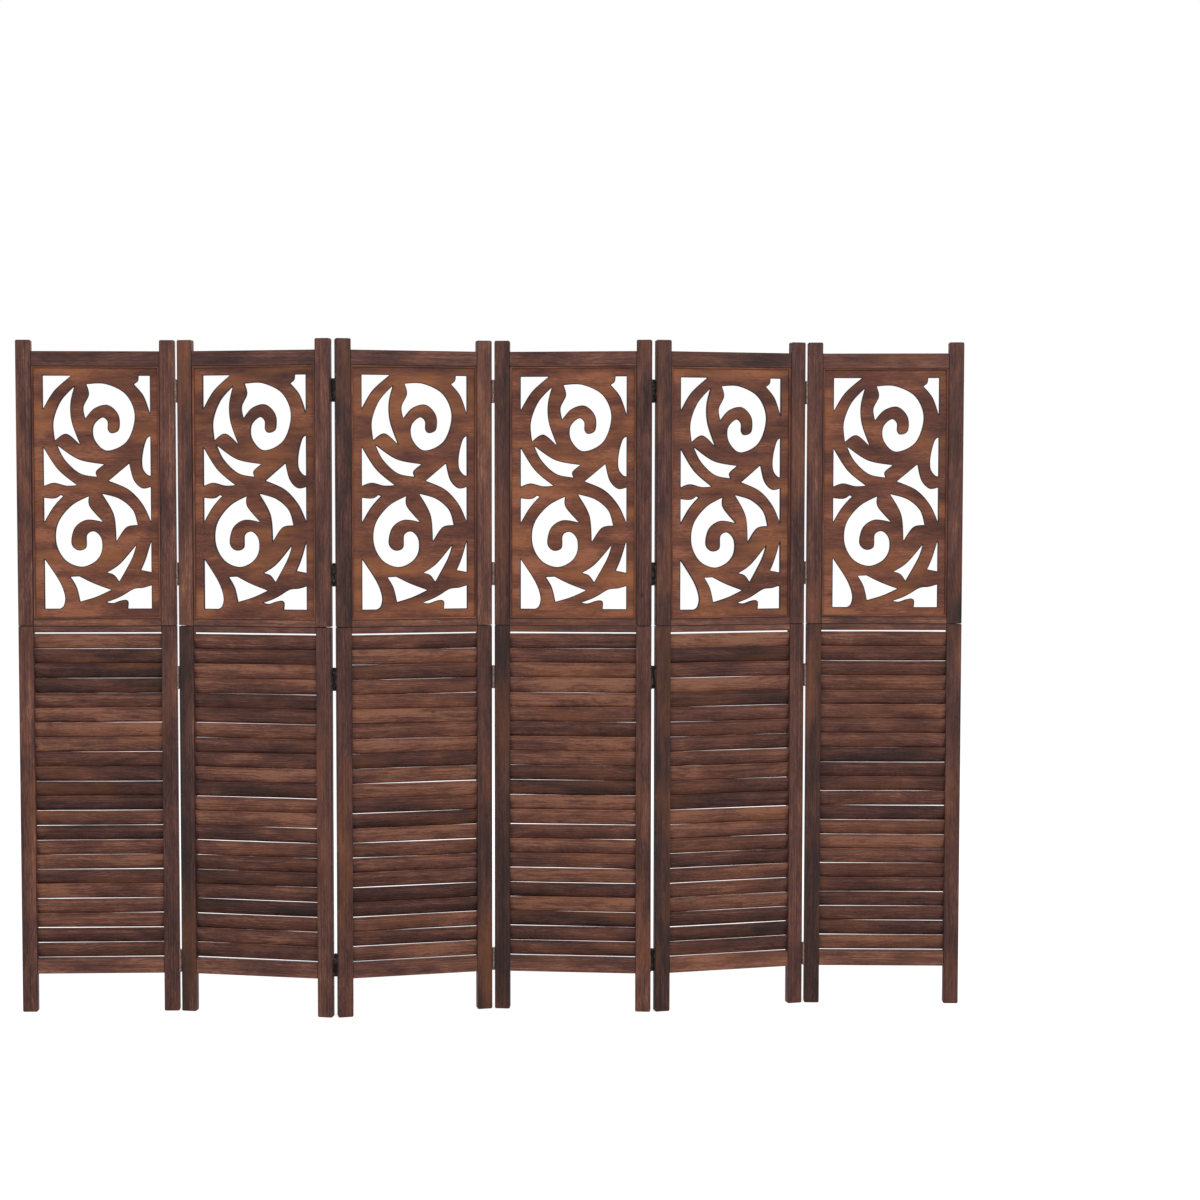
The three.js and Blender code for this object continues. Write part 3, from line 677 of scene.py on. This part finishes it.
for panel in range(PANEL_COUNT):
    node_name = f"panel_{panel + 1}_fretwork_board"
    left, right = STILE_WIDTH + BEAD_PLAY, PANEL_WIDTH - STILE_WIDTH - BEAD_PLAY
    low, high = BOARD_LOW + BEAD_PLAY, BOARD_HIGH - BEAD_PLAY
    corners = [(left, low, 1, 1), (right, low, -1, 1), (right, high, -1, -1), (left, high, 1, -1)]
    work = bmesh.new()
    grains, tones, angle_shade = [], [], []
    draws = random.Random(BEAD_SEED + panel)
    for face_side in (-1, 1):
        for k in range(4):
            tone = BEAD_TONE + draws.uniform(-BEAD_TONE_SPREAD, BEAD_TONE_SPREAD)
            rings = []
            for x, z, dx, dz in (corners[k], corners[(k + 1) % 4]):
                ring = [(x + dx * inward, face_side * (BOARD_THICKNESS / 2 + up), z + dz * inward)
                        for inward, up in BEAD_PROFILE]
                rings.append([work.verts.new(point) for point in ring])
                for px, py, pz in ring:
                    grains += (pz, px, py) if k % 2 else (px, pz, py)
                tones += [tone] * len(ring)
                angle_shade += [0.0 if 0.001 < inward < 0.0049 else BEAD_ANGLE_SHADE
                                 for inward, _ in BEAD_PROFILE]
            skin(work, rings)
            cap(work, rings)
    beads = closed_mesh(f"{node_name}_beads", work)
    give_grain(beads, "x", BEAD_NUMBERS + panel, BEAD_TONE)
    beads.attributes["grain"].data.foreach_set("vector", grains)
    beads.attributes["tone"].data.foreach_set("value", tones)
    # The painted shade in the angles beside the bead goes into the same mark as sawn end grain.
    write_marks(beads, "sawn", "POINT", angle_shade)
    link_piece(f"{node_name}_beads", beads, panel, board_wood, node_name)

# ---- The louvre slats ----------------------------------------------------------------------
# Twenty-two thin slats fill the lower frame, their ends housed in the stiles. They are fixed,
# with the top edge leaning to the front, and they lie close enough that only thin lines of
# light show between them. No two are sawn, stained or set quite alike.
SLAT_COUNT = 22
SLAT_WIDTH = 0.0392
SLAT_THICKNESS = 0.005
SLAT_ROUNDING = 0.0007
SLAT_HOUSING = 0.0035  # how deep its ends lie in the stiles
SLAT_LENGTH = PANEL_WIDTH - 2 * STILE_WIDTH + 2 * SLAT_HOUSING
SLAT_STEPS = 24
SLAT_NUMBERS, SLAT_NUMBERS_A_PANEL = 800.0, 40
SLAT_SEED, SLAT_SEED_STEP = 100, 17
# Up and down a slat's face: how far from its middle, and how much lighter it is painted there,
# darker below nought.
# This is painted light and shade: a painted highlight along the top edge, painted shade over the
# lower part, and a dark painted shadow along the lower edge, where the slat below shades it.
SLAT_PAINTED_SHADE = [(0.0196, 0.25), (0.0186, -0.02), (0.0160, 0.10), (0.0115, 0.22), (0.0, 0.07),
             (-0.0100, 0.08), (-0.0163, 0.06), (-0.0177, -0.32), (-0.0196, -0.42)]
DARK_END = 0.012  # how far from the stiles the slats are painted darker, a painted shade where the stiles shade their ends
END_SHADE = 0.14  # by how much they are
LOWEST_SLAT = 0.1581
SLAT_PITCH = 0.037385
SLAT_TILT = math.radians(18)

slat_wood = stained_wood("slat_wood", clouds=0.65, mottle=0.5, rings=0.9, streaks=0.6, bare=0.3)


def slat_section():
    """A slat's section, rounded at its corners, with points where its painted light and shade
    change.
    """
    section = []
    heights = [height for height, _ in SLAT_PAINTED_SHADE[1:-1]]
    for cy, cz, start in ((1, 1, 0), (-1, 1, 1), (-1, -1, 2), (1, -1, 3)):
        for k in range(4):
            turn = (start + k / 3) * math.pi / 2
            section.append(
                (cy * (SLAT_THICKNESS / 2 - SLAT_ROUNDING) + SLAT_ROUNDING * math.cos(turn),
                 cz * (SLAT_WIDTH / 2 - SLAT_ROUNDING) + SLAT_ROUNDING * math.sin(turn)))
        if start == 1:
            section += [(-SLAT_THICKNESS / 2, height) for height in heights]
        elif start == 3:
            section += [(SLAT_THICKNESS / 2, height) for height in reversed(heights)]
    return section


def plain_slat():
    """One slat lying along x, in short steps so that it can bow."""
    edge = PANEL_WIDTH / 2 - STILE_WIDTH
    steps = [SLAT_LENGTH * (step / SLAT_STEPS - 0.5) for step in range(SLAT_STEPS + 1)]
    steps = sorted(steps + [sign * (edge - off) for sign in (-1, 1) for off in (0.0, DARK_END)])
    work = bmesh.new()
    rings = [[work.verts.new((x, y, z)) for y, z in slat_section()] for x in steps]
    skin(work, rings)
    cap(work, rings)
    mesh = closed_mesh("slat", work)
    grain = mesh.attributes.new("grain", "FLOAT_VECTOR", "POINT")
    for vertex, value in zip(mesh.vertices, grain.data):
        value.vector = (vertex.co.x, vertex.co.z, vertex.co.y)
    # Painted light and shade on every point: the painted bands up the face, and painted shade near
    # the ends, where the stiles shade them.
    painted_shade_and_tone = []
    for x, _, z in (vertex.co for vertex in mesh.vertices):
        lighter = SLAT_PAINTED_SHADE[0][1]
        for (above, at_above), (below, at_below) in zip(SLAT_PAINTED_SHADE, SLAT_PAINTED_SHADE[1:]):
            if below - 1e-6 <= z <= above + 1e-6:
                lighter = at_below + (z - below) / (above - below) * (at_above - at_below)
        near_end = min(1.0, max(0.0, (abs(x) - edge + DARK_END) / DARK_END))
        painted_shade_and_tone.append(lighter - END_SHADE * near_end)
    write_marks(mesh, "painted_shade_and_tone", "POINT", painted_shade_and_tone)
    return mesh


def make_slat_tree():
    """Sets one slat out in a bank, each a little off in height, tilt, skew and bow."""
    tree, given, put = new_group(
        "louvre_bank", "GeometryNodeTree",
        [("Slat", "NodeSocketGeometry", None), ("Count", "NodeSocketInt", 1),
         *((title, "NodeSocketFloat", 0.0) for title in (
             "Middle", "Lowest", "Pitch", "Tilt", "Height Error", "Tilt Error", "Skew", "Bow",
             "Unevenness", "Tone", "Paler Upwards")),
         ("Half Length", "NodeSocketFloat", 0.1), ("Shade Spread", "NodeSocketFloat", 0.0),
         ("Number", "NodeSocketFloat", 0.0), ("Seed", "NodeSocketInt", 0),
         ("Material", "NodeSocketMaterial", None)],
        [("Bank", "NodeSocketGeometry")])
    g = given.outputs
    index = node(tree, "GeometryNodeInputIndex").outputs[0]

    def drawn(spread, salt, identity):
        low = scaled(tree, spread, -1.0)
        seed = node(tree, "FunctionNodeIntegerMath", {0: g["Seed"], 1: salt}, operation="ADD")
        value = node(tree, "FunctionNodeRandomValue", data_type="FLOAT")
        for place, source in ((2, low), (3, spread), (7, identity), (8, seed.outputs[0])):
            tree.links.new(source, value.inputs[place])
        return value.outputs[1]

    def stored(geometry, title, value):
        return node(tree, "GeometryNodeStoreNamedAttribute",
                    {"Geometry": geometry, "Name": title, "Value": value},
                    domain="INSTANCE", data_type="FLOAT").outputs[0]

    height = maths(tree, "ADD", scaled(tree, index, g["Pitch"]), g["Lowest"])
    height = maths(tree, "ADD", height, drawn(g["Height Error"], 1, index))
    place = node(tree, "ShaderNodeCombineXYZ", {0: g["Middle"], 2: height}).outputs[0]
    points = node(tree, "GeometryNodePoints", {"Count": g["Count"], "Position": place})
    tilt = maths(tree, "ADD", g["Tilt"], drawn(g["Tilt Error"], 2, index))
    turn = node(tree, "ShaderNodeCombineXYZ", {0: tilt, 1: drawn(g["Skew"], 3, index)}).outputs[0]
    rotation = node(tree, "FunctionNodeEulerToRotation", {0: turn}).outputs[0]
    copies = node(tree, "GeometryNodeInstanceOnPoints",
                  {"Points": points.outputs[0], "Instance": g["Slat"], "Rotation": rotation})
    numbered = stored(copies.outputs[0], "piece", maths(tree, "ADD", index, g["Number"]))
    tone = maths(tree, "ADD", drawn(g["Shade Spread"], 4, index), g["Tone"])
    tone = maths(tree, "ADD", tone, scaled(tree, index, g["Paler Upwards"]))
    whole = node(tree, "GeometryNodeRealizeInstances",
                 {"Geometry": stored(numbered, "tone", tone)})

    number = node(tree, "GeometryNodeInputNamedAttribute", {"Name": "piece"},
                  data_type="FLOAT").outputs[0]
    lying = node(tree, "GeometryNodeInputNamedAttribute", {"Name": "grain"},
                 data_type="FLOAT_VECTOR")
    whole_number = node(tree, "FunctionNodeFloatToInt", {0: number},
                        rounding_mode="ROUND").outputs[0]
    along = node(tree, "ShaderNodeSeparateXYZ", {0: lying.outputs[0]}).outputs[0]
    share = maths(tree, "DIVIDE", along, g["Half Length"])
    arch = maths(tree, "SUBTRACT", 1.0, maths(tree, "MULTIPLY", share, share))
    rise = maths(tree, "MULTIPLY", arch, drawn(g["Bow"], 5, whole_number))
    spot = node(tree, "ShaderNodeCombineXYZ", {0: along, 1: number}).outputs[0]
    wander = maths(tree, "SUBTRACT", noise(tree, spot, 16.0, 3.7, 2.0), 0.5)
    rise = maths(tree, "ADD", rise, scaled(tree, wander, g["Unevenness"]))
    offset = node(tree, "ShaderNodeCombineXYZ", {2: rise}).outputs[0]
    bowed = node(tree, "GeometryNodeSetPosition", {"Geometry": whole.outputs[0], "Offset": offset})
    dressed = node(tree, "GeometryNodeSetMaterial",
                   {"Geometry": bowed.outputs[0], "Material": g["Material"]})
    tree.links.new(dressed.outputs[0], put.inputs["Bank"])
    return tree


def grown(name, mesh, tree, values):
    """What a node tree makes of a mesh, as a plain mesh."""
    holder = bpy.data.objects.new(name, mesh)
    bpy.context.scene.collection.objects.link(holder)
    modifier = holder.modifiers.new(name, "NODES")
    modifier.node_group = tree
    for item in tree.interface.items_tree:
        if item.in_out == "INPUT" and item.name in values:
            modifier[item.identifier] = values[item.name]
    bpy.context.view_layer.update()
    seen = holder.evaluated_get(bpy.context.evaluated_depsgraph_get())
    made = bpy.data.meshes.new_from_object(seen)
    holder.modifiers.remove(modifier)
    bpy.data.objects.remove(holder)
    made.name = name
    return made


louvre_bank = make_slat_tree()
one_slat = plain_slat()

for panel in range(PANEL_COUNT):
    node_name = f"panel_{panel + 1}_louvre_slats"
    bank = grown(f"{node_name}_bank", one_slat, louvre_bank, {
        "Count": SLAT_COUNT, "Middle": PANEL_WIDTH / 2, "Lowest": LOWEST_SLAT,
        "Pitch": SLAT_PITCH, "Tilt": SLAT_TILT, "Height Error": 0.0006,
        "Tilt Error": math.radians(1.4), "Skew": math.radians(0.22), "Bow": 0.0006,
        "Unevenness": 0.0009, "Tone": -0.03, "Paler Upwards": 0.005,
        "Half Length": SLAT_LENGTH / 2, "Shade Spread": 0.33,
        "Number": SLAT_NUMBERS + SLAT_NUMBERS_A_PANEL * panel,
        "Seed": SLAT_SEED + SLAT_SEED_STEP * panel, "Material": slat_wood})
    link_piece(f"{node_name}_bank", bank, panel, slat_wood, node_name)

# ---- The hinges ----------------------------------------------------------------------------
# Four steel butt hinges at every junction, five knuckles each, screwed to the edges of the
# stiles and stained over with the wood. One leaf has the outer and middle knuckles and the
# pin, the other has the two between.
HINGE_HEIGHT = 0.058
HINGE_MIDDLES = [0.1295, 0.8515, 1.1131, 1.5725]
KNUCKLE_COUNT = 5
KNUCKLE_RADIUS = 0.0027
KNUCKLE_GAP = 0.0003
KNUCKLE_EASING = 0.0003
KNUCKLE_SIDES, PIN_SIDES, SCREW_SIDES = 20, 16, 18
NECK_REACH = 0.0012  # how far a knuckle's neck runs on past it, into the plate
PLATE_START = 0.0005
LEAF_THICKNESS = 0.0012
LEAF_REACH = 0.019
LEAF_CORNER = 0.002
PIN_RADIUS = 0.0012
PIN_HEAD = 0.72 * KNUCKLE_RADIUS
SCREW_OFF = 0.017  # from the middle of a leaf
SCREW_PROFILE = [(0.0012, -0.0009), (0.0028, 0.0), (0.0028, 0.00012), (0.0021, 0.00030),
                 (0.0009, 0.00036), (0.0007, -0.0003)]
SLOT_SIZE = (0.0034, 0.0006, 0.0002)
SLOT_TURN = 0.4
BACK_HINGE_SHADE = {-1: 0.0, 1: 0.95}  # painted shade: how near to black the hinges in front and behind are painted, those behind lying in the shadow of the stiles


def block(work, size, middle, turn=0.0):
    """A block, turned about the z axis."""
    place = Matrix.Translation(middle) @ Matrix.Rotation(turn, 4, "Z")
    bmesh.ops.create_cube(work, size=1.0, matrix=place @ Matrix.Diagonal((*size, 1.0)))


def leaf_mesh(with_pin):
    """One leaf about the pin's axis, for the panel on the left of a junction with the pin in
    front: its plate lies against the stile's edge and runs back along it, to +y."""
    work = bmesh.new()
    half = HINGE_HEIGHT / 2
    length = (HINGE_HEIGHT - (KNUCKLE_COUNT - 1) * KNUCKLE_GAP) / KNUCKLE_COUNT
    ease, neck = KNUCKLE_EASING, KNUCKLE_RADIUS + NECK_REACH
    for i in range(0 if with_pin else 1, KNUCKLE_COUNT, 2):
        low = -half + i * (length + KNUCKLE_GAP)
        high = low + length
        turned(work, [(KNUCKLE_RADIUS - ease, low), (KNUCKLE_RADIUS, low + ease),
                      (KNUCKLE_RADIUS, high - ease), (KNUCKLE_RADIUS - ease, high)],
               KNUCKLE_SIDES)
        block(work, (LEAF_THICKNESS, neck, length - 2 * ease),
              (-KNUCKLE_RADIUS + LEAF_THICKNESS / 2, neck / 2, (low + high) / 2))
    if with_pin:
        turned(work, [(PIN_RADIUS, -half - 0.0004), (PIN_HEAD, -half - 0.0004),
                      (PIN_HEAD, -half), (PIN_RADIUS, -half + 0.0006),
                      (PIN_RADIUS, half - 0.0006), (PIN_HEAD, half),
                      (KNUCKLE_RADIUS * 0.60, half + 0.0005), (PIN_RADIUS * 0.5, half + 0.0007)],
               PIN_SIDES)
    start, end = KNUCKLE_RADIUS + PLATE_START, LEAF_REACH
    plate = [(start, -half), (end - LEAF_CORNER, -half), (end, -half + LEAF_CORNER),
             (end, half - LEAF_CORNER), (end - LEAF_CORNER, half), (start, half)]
    rings = [[work.verts.new((x, y, z)) for y, z in plate]
             for x in (-KNUCKLE_RADIUS, -KNUCKLE_RADIUS + LEAF_THICKNESS)]
    skin(work, rings)
    cap(work, rings)
    return closed_mesh("leaf", work)


def screw_mesh():
    """A countersunk screw head with a crossed slot, its axis along x, facing +x."""
    work = bmesh.new()
    turned(work, SCREW_PROFILE, SCREW_SIDES)
    for turn in (SLOT_TURN, math.pi / 2 + SLOT_TURN):
        block(work, SLOT_SIZE, (0.0, 0.0, 0.00030), turn)
    bmesh.ops.rotate(work, cent=(0, 0, 0), matrix=Matrix.Rotation(math.pi / 2, 3, "Y"),
                     verts=work.verts)
    return closed_mesh("screw", work)


def make_copies_tree():
    """Puts a copy of one fitting on every point of a mesh."""
    tree, given, put = new_group(
        "fittings_on_points", "GeometryNodeTree",
        [("Points", "NodeSocketGeometry", None), ("Fitting", "NodeSocketObject", None),
         ("Material", "NodeSocketMaterial", None)],
        [("Fittings", "NodeSocketGeometry")])
    fitting = node(tree, "GeometryNodeObjectInfo", {"Object": given.outputs["Fitting"]})
    copies = node(tree, "GeometryNodeInstanceOnPoints",
                  {"Points": given.outputs["Points"], "Instance": fitting.outputs["Geometry"]})
    whole = node(tree, "GeometryNodeRealizeInstances", {"Geometry": copies.outputs[0]})
    dressed = node(tree, "GeometryNodeSetMaterial",
                   {"Geometry": whole.outputs[0], "Material": given.outputs["Material"]})
    tree.links.new(dressed.outputs[0], put.inputs["Fittings"])
    return tree


def make_hinge_steel():
    """Steel browned by the stain that ran over it, with pale patches painted in for glints,
    scuffed bright in specks. On the hinges behind the panels, as a mark on their points tells, it
    is painted nearly black: a painted shade."""
    material, tree = blank_material("hinge_steel")
    place = node(tree, "ShaderNodeTexCoord").outputs["Object"]
    stain, smear = (node(tree, "ShaderNodeTexNoise", {"Vector": place, "Scale": scale,
                                                      "Detail": detail}).outputs["Fac"]
                    for scale, detail in ((260.0, 3.0), (70.0, 2.0)))
    painted_hinge_shade = node(tree, "ShaderNodeAttribute", attribute_name="painted_hinge_shade").outputs["Fac"]
    speck = mapped(tree, smear, 0.53, 0.60, 1.0, 0.0)
    # Brown stain, with pale patches that are painted glints, the highlights the knuckles catch.
    browned_and_glinting = ramped(tree, stain, [(0.34, srgb(70, 47, 41)), (0.66, srgb(150, 128, 120))])
    colour = mixed(tree, maths(tree, "MULTIPLY", painted_hinge_shade, speck), browned_and_glinting, srgb(20, 15, 14))
    bump = node(tree, "ShaderNodeBump", {"Strength": 0.3, "Distance": 0.0002, "Height": stain})
    shader = node(tree, "ShaderNodeBsdfPrincipled",
                  {"Base Color": colour, "Metallic": mapped(tree, smear, 0.45, 0.7, 0.0, 0.7),
                   "Roughness": mapped(tree, stain, 0.3, 0.7, 0.35, 0.65),
                   "Normal": bump.outputs[0]})
    node(tree, "ShaderNodeOutputMaterial", {"Surface": shader.outputs[0]})
    return material


hinge_steel = make_hinge_steel()
fittings_on_points = make_copies_tree()


def fitting_copies(name, fitting, points):
    """The fitting, a mesh, copied to these points."""
    holder = bpy.data.objects.new(f"{name}_one", fitting)
    bpy.context.scene.collection.objects.link(holder)
    base = bpy.data.meshes.new(f"{name}_points")
    base.from_pydata(points, [], [])
    made = grown(name, base, fittings_on_points, {"Fitting": holder, "Material": hinge_steel})
    bpy.data.objects.remove(holder)
    return made


for junction in range(1, PANEL_COUNT):
    side = pin_sides[junction - 1]
    for bored in (0, 1):
        panel = junction - 1 + bored
        kind = "bored" if bored else "pinned"
        node_name = f"hinge_line_{junction}_{kind}_leaves"
        leaves = fitting_copies(f"{node_name}_plates", leaf_mesh(not bored),
                                [(0.0, 0.0, z) for z in HINGE_MIDDLES])
        screws = fitting_copies(
            f"{node_name}_screws", screw_mesh(),
            [(-KNUCKLE_RADIUS + LEAF_THICKNESS, (LEAF_REACH + KNUCKLE_RADIUS) / 2, z + off)
             for z in HINGE_MIDDLES for off in (-SCREW_OFF, SCREW_OFF)])
        # drawn for a pin in front and a leaf on the right-hand edge of its panel
        flip = Matrix.Diagonal((-1 if bored else 1, 1 if side < 0 else -1, 1, 1))
        edge = -HINGE_GAP / 2 if bored else PANEL_WIDTH + HINGE_GAP / 2
        place = panel_places[panel] @ Matrix.Translation((edge, side * PIN_OUT, 0.0)) @ flip
        for what, mesh in (("plates", leaves), ("screws", screws)):
            # painted shade: nearly black on the hinges behind the panels, none on those in front
            write_marks(mesh, "painted_hinge_shade", "POINT", [BACK_HINGE_SHADE[side]] * len(mesh.vertices))
            if flip.determinant() < 0:
                mesh.flip_normals()
            link_piece(f"{node_name}_{what}", mesh, panel, hinge_steel, node_name,
                       place)

# ---- The floor and the light ---------------------------------------------------------------
# A pale studio floor under even, soft light: white where the camera looks straight at it,
# apart from the soft shadow that the feet cast.
FLOOR_SIZE = 60.0
FLOOR_GLOW = 0.70
SKY_LIGHT, SKY_SEEN = 0.55, 1.0
LAMP_SIZE = 3.0
LAMPS = {"key_light": (120.0, (2.6, -4.2, 3.8)), "fill_light": (50.0, (-3.2, -4.0, 2.4)),
         "back_light": (50.0, (0.5, 4.0, 3.2))}
LIT_SPOT = (0.0, 0.0, 0.9)


def looked_at(tree):
    """One for what is seen straight, mirrored or through glass, and nought for other light."""
    rays = node(tree, "ShaderNodeLightPath").outputs
    return maths(tree, "MAXIMUM", rays["Is Camera Ray"],
                 maths(tree, "MAXIMUM", rays["Is Glossy Ray"], rays["Is Transmission Ray"]))


bpy.ops.mesh.primitive_plane_add(size=FLOOR_SIZE)
floor = bpy.context.active_object
floor.name = "studio_floor"
floor_paint, tree = blank_material("floor_paint")
dull = node(tree, "ShaderNodeBsdfDiffuse", {"Color": (0.6, 0.6, 0.6, 1.0)})
glow = node(tree, "ShaderNodeEmission", {"Strength": scaled(tree, looked_at(tree), FLOOR_GLOW)})
both = node(tree, "ShaderNodeAddShader", {0: dull.outputs[0], 1: glow.outputs[0]})
node(tree, "ShaderNodeOutputMaterial", {"Surface": both.outputs[0]})
floor.data.materials.append(floor_paint)

world = bpy.data.worlds.new("studio")
bpy.context.scene.world = world
world.use_nodes = True
tree = world.node_tree
tree.nodes.clear()
strength = mapped(tree, looked_at(tree), 0.0, 1.0, SKY_LIGHT, SKY_SEEN)
sky = node(tree, "ShaderNodeBackground", {"Color": (1.0, 1.0, 1.0, 1.0), "Strength": strength})
node(tree, "ShaderNodeOutputWorld", {"Surface": sky.outputs[0]})

for lamp_name, (power, spot) in LAMPS.items():
    light = bpy.data.lights.new(lamp_name, "AREA")
    light.energy = power
    light.size = LAMP_SIZE
    lamp = bpy.data.objects.new(lamp_name, light)
    lamp.location = spot
    aim = Vector(LIT_SPOT) - Vector(spot)
    lamp.rotation_euler = aim.to_track_quat("-Z", "Y").to_euler()
    bpy.context.scene.collection.objects.link(lamp)
